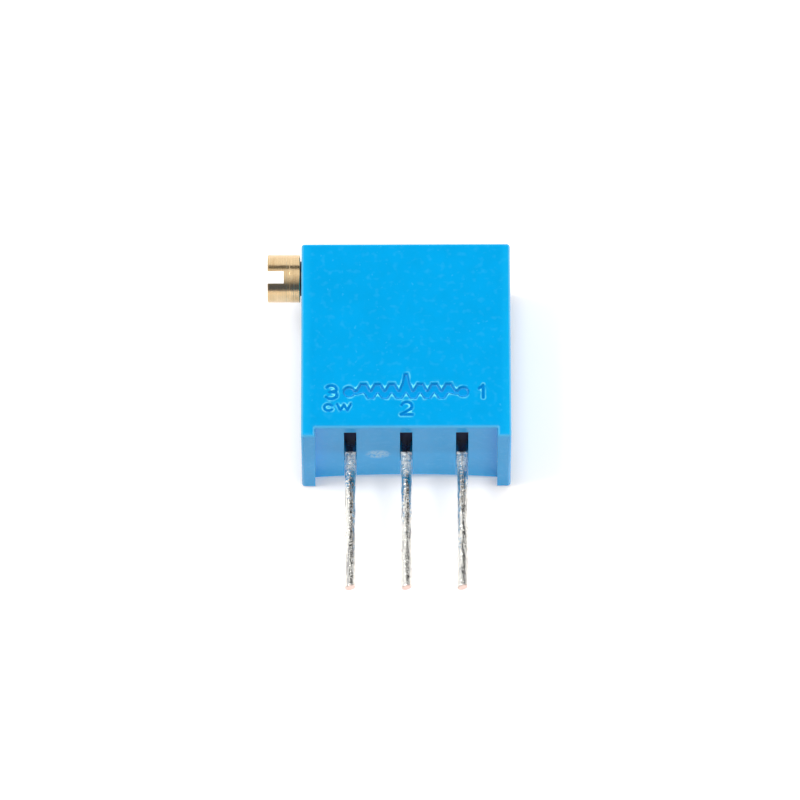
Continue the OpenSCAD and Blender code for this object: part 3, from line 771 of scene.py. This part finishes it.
def stampFace(body, marks):
    # puts a finely meshed relief in the place of the flat marked face
    bm = bmesh.new()
    bm.from_mesh(body.data)
    bm.normal_update()
    face = max((f for f in bm.faces if abs(f.calc_center_median().y - frontY) < 1e-4
                and f.normal.y < -0.99), key=lambda f: f.calc_area())
    rim = list(face.verts)
    bm.faces.remove(face)
    inner = marks.samples()
    flat = [Vector((v.co.x, v.co.z)) for v in rim] + [Vector(p) for p in inner]
    points, _, triangles, origins, _, _ = delaunay_2d_cdt(
        flat, [], [list(range(len(rim)))], 1, 1e-6)
    heights = marks.height(np.array([tuple(p) for p in points]))
    corners = []
    for point, height, origin in zip(points, heights, origins):
        known = [i for i in origin if i < len(rim)]
        corners.append(rim[known[0]] if known
                       else bm.verts.new((point.x, frontY - height, point.y)))
    for triangle in triangles:
        a, b, c = (points[i] for i in triangle)
        order = triangle if (b - a).cross(c - a) > 0 else triangle[::-1]
        bm.faces.new([corners[i] for i in order])
    bm.normal_update()
    bm.to_mesh(body.data)
    bm.free()


def backArch(shape, steps=6, columns=24):
    # what is missing below the rounded back edge of the recess, which bows up at its middle
    up, half = shape["footHeight"], sideX - shape["footWidth"] - shape["archGap"]
    rings = []
    for i in range(columns + 1):
        x = half * (2 * i / columns - 1)
        rim = shape["backRim"] + (shape["archRim"] - shape["backRim"]) * (1 - (x / half) ** 2)
        centre = (backY - rim, up + rim)
        outline = arc(centre, rim, 270, 360, steps) + [
            Vector((backY + past / 2, up + rim)), Vector((backY + past / 2, up - past / 2)),
            Vector((backY - rim, up - past / 2))]
        rings.append([Vector((x, p.x, p.y)) for p in outline])
    return loft(rings)


def makeHousing(shape, marks):
    body = asObject("body", prism(bodyOutline(shape), frontY, backY, shape["frontRim"],
                                  shape["backRim"]))
    pocket = roundedRect((-pocketX, floorZ), (pocketX, pocketTop), shape["pocketCorner"])
    combine(body, [
        block((-chamberX, chamberY, floorZ),
              (chamberX, ceramicY + past, screwZ + shape["shankRadius"])),
        rodAlongX(-chamberX, chamberX, screwY, screwZ, shape["shankRadius"]),
        prism(pocket, ceramicY, backY + past)], "DIFFERENCE")
    combine(body, [backArch(shape)], "DIFFERENCE")
    bossHalf = shape["boreRadius"] + shape["bossWall"]
    bossLow, bossTop = screwZ - bossHalf, (screwZ + topZ) / 2
    root = chamberY - shape["frontWall"] / 2  # pieces that stand in the chamber start in its wall
    shankBossX, journalBossX = -sideX + shape["shankBoss"], sideX - shape["journalBoss"]
    wallMiddle = chamberX + shape["sideWall"] / 2
    postEnd = wheelHigh.y - shape["postGap"]
    combine(body, [
        block((-wallMiddle, root, bossLow), (shankBossX, ceramicY, bossTop)),
        block((journalBossX, root, bossLow), (wallMiddle, ceramicY, bossTop)),
        discAlongY(0, wheelZ, shape["postRadius"], root, postEnd),
        discAlongY(0, wheelZ, shape["padRadius"], root, chamberY + shape["padHeight"]),
        ringSector(0, wheelZ, shape["stopInner"], shape["stopOuter"],
                   270 - shape["stopHalfAngle"], 270 + shape["stopHalfAngle"], root,
                   chamberY + shape["stopHeight"])], "UNION")
    clipX = -sideX + shape["clipSlot"]
    slots = [block((x - shape["slotHalf"], chamberY, shape["footHeight"] - past),
                   (x + shape["slotHalf"], backY + past, floorZ + past))
             for x in (-shape["leadPitch"], 0, shape["leadPitch"])]
    combine(body, [
        rodAlongX(-sideX - past, shankBossX + past, screwY, screwZ, shape["boreRadius"]),
        rodAlongX(journalBossX - past, journalBossX + shape["journalDepth"], screwY, screwZ,
                  shape["journalBore"]),
        block((clipX, screwY - shape["clipReach"], screwZ - shape["clipHeight"] / 2),
              (clipX + shape["clipSlotWidth"], ceramicY + past, screwZ + shape["clipHeight"] / 2)),
        *slots], "DIFFERENCE")
    stampFace(body, StampedMarks(marks))
    return place(body, "housing_moulding", "case", ["housing"], [blueMoulding])


housing = makeHousing(bodyShape, markShape)
print("housing:", len(housing.data.polygons), "faces")

# back cover

coverShape = {"rim": 0.06, "plate": 0.8, "rimWall": 0.45, "innerCorner": 0.12, "fit": 0.04,
              "tongueHalf": 0.26, "tongueRoot": 0.4, "tongueTop": 0.08}


def makeCover(shape):
    corner = bodyShape["pocketCorner"]
    low = (-pocketX + shape["fit"], floorZ + shape["fit"])
    high = (pocketX - shape["fit"], pocketTop - shape["fit"])
    plate = asObject("plate", prism(roundedRect(low, high, corner), ceramicHigh.y, coverHigh.y, 0.0,
                                    shape["rim"]))
    inner = shape["rimWall"]
    combine(plate, [prism(roundedRect((low[0] + inner, low[1] + inner),
                                      (high[0] - inner, high[1] - inner), shape["innerCorner"]),
                          ceramicHigh.y - past, coverHigh.y - shape["plate"])], "DIFFERENCE")
    tongues = []
    for x in (-bodyShape["leadPitch"], 0, bodyShape["leadPitch"]):
        left, right = x - shape["tongueHalf"], x + shape["tongueHalf"]
        tongues += [block((left, coverLow.y, bodyShape["footHeight"]),
                          (right, coverHigh.y, floorZ)),
                    block((left, ceramicHigh.y, floorZ - shape["tongueRoot"]),
                          (right, coverHigh.y, floorZ + shape["tongueTop"]))]
    combine(plate, tongues, "UNION")
    combine(plate, [backArch(bodyShape)], "DIFFERENCE")
    return place(plate, "cover_moulding", "case", ["back_cover"], [blueMoulding])


cover = makeCover(coverShape)
print("back cover:", len(cover.data.polygons), "faces")

# screw

screwShape = {
    "headRadius": 1.095, "headChamfer": 0.035, "headGap": 0.06,
    "slotWidth": 0.56, "slotDepth": 0.74, "slotTurn": 29.0, "slotOff": 0.065,
    "shankRadius": 0.798, "shankPast": 0.1,  # how far the shank runs past its boss
    "grooveFromSide": 0.36, "grooveWidth": 0.42, "grooveRadius": 0.498,
    "neckFromSide": 1.12, "neckWidth": 0.4, "neckRadius": 0.42,
    # tool marks on the head: distance from its outer end, depth
    "toolMarks": [(0.85, 0), (0.86, 0), (0.866, 0.005), (0.94, 0.0005), (0.95, 0),
                  (0.97, 0), (0.978, 0), (0.983, 0.01), (0.988, 0.0105), (1.018, 0.001), (1.026, 0),
                  (1.1, 0), (1.11, 0), (1.124, 0.002), (1.138, 0), (1.148, 0),
                  (1.19, 0), (1.2, 0), (1.208, 0.003), (1.23, 0), (1.24, 0),
                  (1.29, 0), (1.3, 0), (1.316, 0.0025), (1.332, 0), (1.342, 0)],
    "hold": 0.02,              # a narrow band beside each rim keeps the flank's shading straight
    "coreRadius": 0.272, "journalRadius": 0.35, "wormHalf": 2.0, "wormEnd": 0.04,
    "threadPitch": 0.62184, "crestRadius": 0.748, "rootRadius": 0.3026,
    "crestHalf": 0.0734, "rootHalf": 0.2355, "steps": 96, "columns": 140,
}


def threadRadius(x, turn, shape):
    # radius of the worm at a place along it and a part of a turn
    pitch = shape["threadPitch"]
    off = abs((x / pitch - turn + 0.5) % 1.0 - 0.5) * pitch
    rise = (shape["rootHalf"] - off) / (shape["rootHalf"] - shape["crestHalf"])
    return shape["rootRadius"] + (shape["crestRadius"] - shape["rootRadius"]) * min(1, max(0, rise))


def makeScrew(shape):
    start, head, end = screwLow.x, -sideX - shape["headGap"], screwHigh.x
    r, c, hold, shank = (shape[key] for key in ("headRadius", "headChamfer", "hold", "shankRadius"))
    core, journal, half = shape["coreRadius"], shape["journalRadius"], shape["wormHalf"]
    worn = c * 0.3  # each chamfer has a middle ring, which rounds it
    profile = [(start, r - c), (start + worn, r - worn), (start + c, r), (start + c + hold, r)]
    profile += [(start + off, r - depth) for off, depth in shape["toolMarks"]]
    profile += [(head - c - hold, r), (head - c, r), (head - worn, r - worn), (head, r - c),
                (head, r - c - hold), (head, shank), (head + hold, shank)]
    for cut in ("groove", "neck"):
        near, low = -sideX + shape[cut + "FromSide"], shape[cut + "Radius"]
        far = near + shape[cut + "Width"]
        profile += [(near, shank), (near, low), (far, low), (far, shank)]
    shankEnd = -sideX + bodyShape["shankBoss"] + shape["shankPast"]
    profile += [(shankEnd, shank), (shankEnd, core), (-half, core)]
    wormEnd = half + shape["wormEnd"]
    tail = [(half, core), (wormEnd, core), (wormEnd, journal), (end - c, journal), (end, journal - c)]
    steps, columns = shape["steps"], shape["columns"]

    def ring(x, radius=None):
        # counted from below, toward the back, as the worm winds; without a radius it is the worm's
        points = []
        for i in range(steps):
            reach = radius or threadRadius(x, i / steps, shape)
            turn = math.tau * i / steps
            points.append(Vector((x, screwY + reach * math.sin(turn), screwZ - reach * math.cos(turn))))
        return points

    screw = asObject("screw", loft(
        [ring(*at) for at in profile] + [ring(-half + 2 * half * i / columns) for i in range(columns + 1)]
        + [ring(*at) for at in tail]))
    slotLow, slotHigh = (shape["slotOff"] + side * shape["slotWidth"] / 2 for side in (-1, 1))
    cutter = block((start - past, -2 * r, slotLow), (start + shape["slotDepth"], 2 * r, slotHigh))
    cutter.transform(Matrix.Translation((0, screwY, screwZ))
                     @ Matrix.Rotation(math.radians(shape["slotTurn"]), 4, "X"))
    combine(screw, [cutter], "DIFFERENCE")
    # past the head's inner end the screw takes the brass with painted shade
    for face in screw.data.polygons:
        face.material_index = 1 if face.center.x > head + 0.001 else 0
    return place(screw, "worm_screw", "screw", ["adjustment_screw"],
                 [brass, shadePaintedBrass], 25)


screw = makeScrew(screwShape)
print("screw:", len(screw.data.polygons), "faces")

# leads

leadShape = {
    "radius": 0.255, "flatWidth": 0.5, "flatThick": 0.36, "flatMiddle": 0.02,
    "flattens": (0.3, 0.49),  # heights between which the round wire turns flat
    "heightsInside": (0.9, 1.4, 2.02, 2.06), "topTaper": 0.92,
    "roughness": 0.022, "roughFades": (0.2, 0.45),
    "blobs": 0.012, "blobsGrow": (-1.7, -0.5), "blobsFade": (0.2, 0.42),  # solder near the body
    "bow": 0.02, "bowFades": (-1.0, 0.3),
    "cutHeights": (0, 0.015, 0.04), "cutSlant": 0.05, "slantReach": 0.5,
    "cutTaper": 0.12, "cutReach": 0.05, "copperReach": 0.12,
    "around": 44, "stepLength": 0.04, "flatSteps": 6,
}


def smoothStep(value, low, high):
    t = min(1.0, max(0.0, (value - low) / (high - low)))
    return t * t * (3 - 2 * t)


def fading(value, low, high):
    return 1 - smoothStep(value, low, high)


def makeLead(number, x, shape):
    # a round wire, rough from dipping, flattened where it enters the body, cut off below
    seed, tip, radius = 7.3 * number, leadLow.z, shape["radius"]
    heights = [tip + up for up in shape["cutHeights"]]
    flatFrom, flatTo = shape["flattens"]
    while heights[-1] < flatFrom - shape["stepLength"]:
        heights.append(heights[-1] + shape["stepLength"])
    heights += [flatFrom + (flatTo - flatFrom) * i / shape["flatSteps"]
                for i in range(shape["flatSteps"] + 1)]
    heights += shape["heightsInside"]
    rings = []
    for z in heights:
        flat, fromCut = smoothStep(z, flatFrom, flatTo), z - tip
        power = 2 / (2 + 10 * flat)  # round below, nearly square where it is flat
        wide = radius + (shape["flatWidth"] / 2 - radius) * flat
        thick = radius + (shape["flatThick"] / 2 - radius) * flat
        rough = shape["roughness"] * fading(z, *shape["roughFades"])
        blobs = shape["blobs"] * smoothStep(z, *shape["blobsGrow"]) * fading(z, *shape["blobsFade"])
        bow = shape["bow"] * fading(z, *shape["bowFades"])
        centreX = x + bow * noise.noise(Vector((seed, 0.3, z * 0.35)))
        centreY = shape["flatMiddle"] * flat + bow * noise.noise(Vector((seed, 9.1, z * 0.3)))
        taper = 1 - shape["cutTaper"] * fading(fromCut, 0.0, shape["cutReach"])
        if z == heights[-1]:
            taper = shape["topTaper"]
        slant = shape["cutSlant"] * fading(fromCut, 0.0, shape["slantReach"])
        ring = []
        for i in range(shape["around"]):
            t = math.tau * i / shape["around"]
            cx, cy = math.cos(t), math.sin(t)
            px = math.copysign(abs(cx) ** power, cx) * wide
            py = math.copysign(abs(cy) ** power, cy) * thick
            # numbers beside the noise scale it and shift its middle
            where = Vector((cx * 1.6 + seed, cy * 1.6, z * 1.3))
            bump = noise.noise(where) + 0.5 * noise.noise(where * 2.7)
            blob = blobs * (noise.noise(Vector((cx * 1.6 + seed, cy * 1.6, z * 3.4)) * 2.1) - 0.2)
            grow = taper * (1 - (rough * (0.55 + 0.9 * bump) - blob) / radius)
            ring.append(Vector((centreX + px * grow, centreY + py * grow, z + slant * cx + slant)))
        rings.append(ring)
    bm = loft(rings)
    bm.normal_update()
    for face in bm.faces:
        if face.calc_center_median().z < tip + shape["copperReach"] and face.normal.z < -0.6:
            face.material_index = 1
    return place(asObject("lead", bm), f"lead_{number}", "case",
                 [f"terminal_pin_{number}"], [tin, copper], 50)


for number, side in enumerate((1, 0, -1), start=1):
    makeLead(number, side * bodyShape["leadPitch"], leadShape)
print("leads made")

# table, light and camera

# The part lies on its back, so the table is the upright plane behind it. It is seen by the
# camera and in gloss, keeps the part's shadow and is see-through from behind.
tableShape = {"size": 0.4, "albedo": (0.96, 0.9, 0.86, 1), "lift": 0.385, "glossLift": 0.56,
              # its glow fades where something stands close over it, a painted contact shadow: reach in
              # metres, openness where it is dimmest, and how dim and in what colour
              "contact": 0.0009, "closed": 0.4, "dimmest": 0.55, "dimTint": (0.92, 0.68, 0.46, 1)}


def makeTable(shape):
    half, y = shape["size"] / 2, backY * mm
    bm = bmesh.new()
    bm.faces.new([bm.verts.new(p) for p in ((-half, y, -half), (half, y, -half),
                                            (half, y, half), (-half, y, half))])
    table = asObject("table", bm)
    material = bpy.data.materials.new("whitePaper")
    material.use_nodes = True
    tree = material.node_tree
    paper = tree.nodes["Principled BSDF"]
    feed(paper.inputs, {
        "Base Color": shape["albedo"], "Roughness": 1.0, "Specular IOR Level": 0.0})
    path = addNode(tree, "ShaderNodeLightPath").outputs
    lift = larger(times(path["Is Camera Ray"], shape["lift"]),
                  times(path["Is Glossy Ray"], shape["glossLift"]))
    # painted contact shadow: the glow dims and warms where the part stands close over the table
    openness = addNode(tree, "ShaderNodeAmbientOcclusion", {"Distance": shape["contact"]}, samples=12)
    opened = mapRange(openness.outputs["AO"], shape["closed"], 1.0, shape["dimmest"], 1.0)
    tint = mixColour(mapRange(opened, shape["dimmest"], 1.0), shape["dimTint"], (1, 1, 1, 1))
    glow = addNode(tree, "ShaderNodeEmission", {"Color": tint, "Strength": times(lift, opened)})
    both = addNode(tree, "ShaderNodeAddShader", {0: paper.outputs[0], 1: glow.outputs[0]})
    clear = addNode(tree, "ShaderNodeBsdfTransparent")
    away = addNode(tree, "ShaderNodeNewGeometry").outputs["Backfacing"]
    choose = addNode(tree, "ShaderNodeMixShader", {0: away, 1: both.outputs[0], 2: clear.outputs[0]})
    feed(tree.nodes["Material Output"].inputs, {"Surface": choose.outputs[0]})
    table.data.materials.append(material)
    table.visible_diffuse = False
    table.visible_shadow = False


makeTable(tableShape)

lightShape = {
    # grey or colour of the surroundings by the angle over the view from the front, in degrees:
    # 0 is straight in front of the marked face, 90 over the top, -90 under the feet
    "bands": [(-180, (1.12, 0.88, 0.92)), (-91, (1.12, 0.88, 0.92)), (-90, (0.08, 0.1, 0.15)),
              (-54, (0.08, 0.1, 0.15)), (-49, 0.36), (-8, 1.0), (18, 1.0), (20, 0.0), (37.5, 0.0),
              (40.5, 1.05), (100, 1.05), (180, (1.12, 0.88, 0.92))],
    "leftBands": [(-180, 0.66), (-91, 0.66), (-90, (0.17, 0.18, 0.2)), (-54, (0.2, 0.2, 0.22)),
                  (-46, 0.45), (-8, 0.66), (100, 0.7), (180, 0.66)],
    "leftStarts": (-0.14, -0.28),
    "level": 1.45,
    # left and right of the part: what gloss mirrors, and what the soft light is
    "aside": 0.6, "glossAcross": (1.15, 0.6), "softAcross": (0.58, 0.97),
    "keyStrength": 1.2, "keyAngle": 20, "keyHeight": 56,
}


def bandRamp(turn, bands):
    ramp = addNode(turn.id_data, "ShaderNodeValToRGB", {0: turn})
    elements = ramp.color_ramp.elements
    while len(elements) > 1:
        elements.remove(elements[-1])
    for i, (degrees, tint) in enumerate(bands):
        position = (degrees + 180) / 360
        element = elements[0] if i == 0 else elements.new(position)
        element.position = position
        parts = tint if isinstance(tint, tuple) else (tint, tint, tint)
        element.color = tuple(part / 2 for part in parts) + (1,)  # halved to stay under 1
    return ramp.outputs[0]


def makeSurroundings(shape):
    scene.world = scene.world or bpy.data.worlds.new("surroundings")
    scene.world.use_nodes = True
    tree = scene.world.node_tree
    tree.nodes.clear()
    coords = addNode(tree, "ShaderNodeTexCoord")
    across, back, up = splitNode(coords.outputs["Generated"])
    angle = mathNode("ARCTAN2", up, times(back, -1.0))
    turn = mapRange(angle, -math.pi, math.pi)
    tint = mixColour(mapRange(across, *shape["leftStarts"]),
                     bandRamp(turn, shape["bands"]), bandRamp(turn, shape["leftBands"]))
    path = addNode(tree, "ShaderNodeLightPath").outputs
    gloss, soft = (mapRange(across, -shape["aside"], shape["aside"], *shape[label])
                   for label in ("glossAcross", "softAcross"))
    level = addNode(tree, "ShaderNodeMix", {0: path["Is Diffuse Ray"], 2: gloss, 3: soft}).outputs[0]
    light = addNode(tree, "ShaderNodeBackground", {
        "Color": tint, "Strength": times(level, 2 * shape["level"])})
    white = addNode(tree, "ShaderNodeBackground", {"Color": (1, 1, 1, 1)})
    choose = addNode(tree, "ShaderNodeMixShader", {
        0: path["Is Camera Ray"], 1: light.outputs[0], 2: white.outputs[0]})
    addNode(tree, "ShaderNodeOutputWorld", {"Surface": choose.outputs[0]})


def makeKeyLight(shape):
    # a sun on the left, its height an angle over the table
    lamp = bpy.data.lights.new("keyLight", "SUN")
    lamp.energy = shape["keyStrength"]
    lamp.angle = math.radians(shape["keyAngle"])
    key = bpy.data.objects.new("keyLight", lamp)
    scene.collection.objects.link(key)
    height = math.radians(shape["keyHeight"])
    toward = Vector((-math.cos(height), -math.sin(height), 0))
    key.rotation_mode = "QUATERNION"
    key.rotation_quaternion = toward.to_track_quat("Z", "Y")


makeSurroundings(lightShape)
makeKeyLight(lightShape)

cameraShape = {"distance": 450.0, "lens": 443.3, "below": 28.63, "roll": -0.152, "clip": (0.01, 10.0),
               "aimRight": -0.272, "aimUp": -1.598, "aimHeight": 5.0}


def makeCamera(shape):
    below, roll = math.radians(shape["below"]), math.radians(shape["roll"])
    forward = Vector((0, math.cos(below), math.sin(below)))
    right = Vector((1, 0, 0))
    up = right.cross(forward)
    tiltedRight = right * math.cos(roll) + up * math.sin(roll)
    tiltedUp = up * math.cos(roll) - right * math.sin(roll)
    aim = Vector((0, 0, shape["aimHeight"])) + tiltedRight * shape["aimRight"] \
        + tiltedUp * shape["aimUp"]
    data = bpy.data.cameras.new("camera")
    data.lens = shape["lens"]
    data.clip_start, data.clip_end = shape["clip"]
    camera = bpy.data.objects.new("camera", data)
    scene.collection.objects.link(camera)
    turn = Matrix((tiltedRight, tiltedUp, -forward)).transposed()
    camera.matrix_world = Matrix.Translation((aim - forward * shape["distance"]) * mm) @ turn.to_4x4()
    scene.camera = camera


makeCamera(cameraShape)
scene.view_settings.view_transform = "Standard"
print("table, light and camera set")
